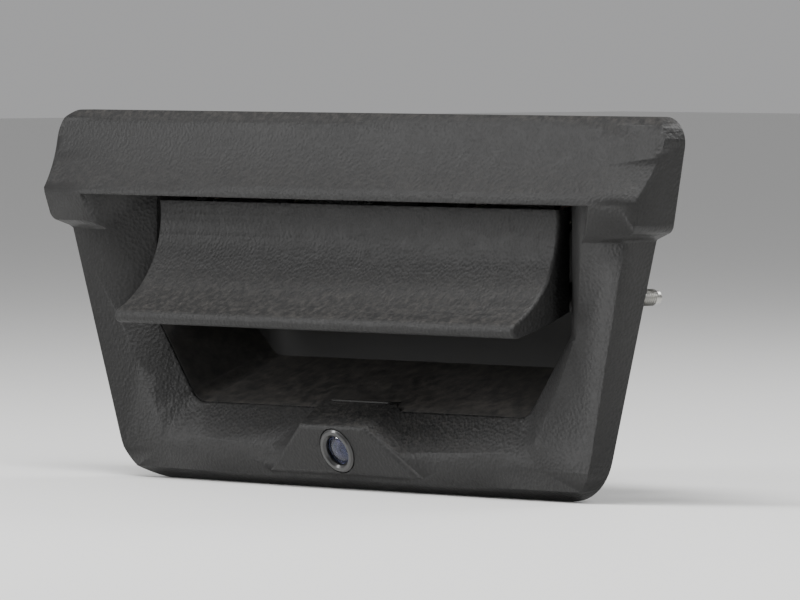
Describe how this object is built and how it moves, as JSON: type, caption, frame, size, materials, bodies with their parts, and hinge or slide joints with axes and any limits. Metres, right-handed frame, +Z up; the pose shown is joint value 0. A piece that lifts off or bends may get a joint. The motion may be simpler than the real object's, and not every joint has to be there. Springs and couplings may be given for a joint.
{
  "type": "tailgate handle with backup camera",
  "caption": "Black textured tailgate pull handle with a small backup camera set in its lower edge, with hinged paddle, return spring and latch-rod crank.",
  "frame": {"origin": "midway between the two mounting studs, on the plane where the handle's depth pads meet the tailgate skin", "axes": "+X to the right as the handle is looked at from behind the vehicle, +Y into the tailgate along the studs, +Z up"},
  "size_m": [0.322, 0.0907, 0.136],
  "materials": {
    "grained_black": "grained, UV-stable trim plastic",
    "pocket_black": "fine matt moulding",
    "core_black": "glass-filled nylon",
    "bush_white": "natural acetal",
    "clip_green": "coloured acetal",
    "case_black": "satin",
    "zinc_steel": "bright zinc plated",
    "black_steel": "black e-coat",
    "spring_steel": "oiled spring wire",
    "foam": "closed-cell foam",
    "black_rubber": "moulded",
    "barrel_black": "black anodised",
    "lens_glass": "coated optical glass",
    "filter_glass": "coated",
    "board_green": "solder mask",
    "chip_black": "moulded",
    "sensor": "under cover glass",
    "pin_tin": "tin plated"
  },
  "bodies": {
    "housing": {"bezel": "grained_black", "pocket_chassis": "pocket_black", "seal_gasket": "foam", "plate_screws": "zinc_steel", "mounting_studs": "zinc_steel", "hinge_pin": "zinc_steel", "pin_clips": "spring_steel", "return_spring": "spring_steel", "paddle_bumpers": "black_rubber", "bracket_spacers": "zinc_steel", "crank_bracket": "black_steel", "bracket_screws": "zinc_steel", "crank_rivet": "zinc_steel", "camera_front_case": "case_black", "case_seal": "black_rubber", "camera_rear_case": "case_black", "lens_ring": "case_black", "lens_window": "lens_glass", "lens_barrel": "barrel_black", "lens_elements": "lens_glass", "lens_o_ring": "black_rubber", "ir_filter": "filter_glass", "image_sensor": "sensor", "sensor_board": "board_green", "board_parts": "chip_black", "connector_pins": "pin_tin", "case_screws": "zinc_steel", "camera_screws": "zinc_steel", "camera_gasket": "black_rubber"},
    "paddle": {"paddle_cover": "grained_black", "paddle_core": "core_black", "cover_screws": "zinc_steel", "hinge_bushes": "bush_white"},
    "crank": {"crank_plate": "zinc_steel", "crank_drive_pin": "zinc_steel", "crank_bush": "bush_white"},
    "clip_left": {"rod_clip_left": "clip_green"},
    "clip_right": {"rod_clip_right": "clip_green"}
  },
  "joints": [
    {"name": "paddle_hinge", "type": "hinge", "parent": "housing", "child": "paddle", "pos_m": [0, 0.006, 0.029], "axis": [-1, 0, 0], "range_deg": [0, 36], "stiffness_Nm_per_rad": 0.2, "springref_deg": -51.57, "deforming": ["return_spring"]},
    {"name": "crank_pivot", "type": "hinge", "parent": "housing", "child": "crank", "pos_m": [-0.02, 0.0493, 0.0227], "axis": [0, 1, 0], "range_deg": [0, 36]},
    {"name": "clip_left_swivel", "type": "hinge", "parent": "crank", "child": "clip_left", "pos_m": [-0.02, 0.0493, 0.0427], "axis": [0, 1, 0], "range_deg": [-36, 0]},
    {"name": "clip_right_swivel", "type": "hinge", "parent": "crank", "child": "clip_right", "pos_m": [-0.02, 0.0493, 0.0027], "axis": [0, 1, 0], "range_deg": [-36, 0]}
  ],
  "couplings": [
    {"joint": "crank_pivot", "follows": "paddle_hinge", "ratio": 1},
    {"joint": "clip_left_swivel", "follows": "paddle_hinge", "ratio": -1},
    {"joint": "clip_right_swivel", "follows": "paddle_hinge", "ratio": -1}
  ]
}
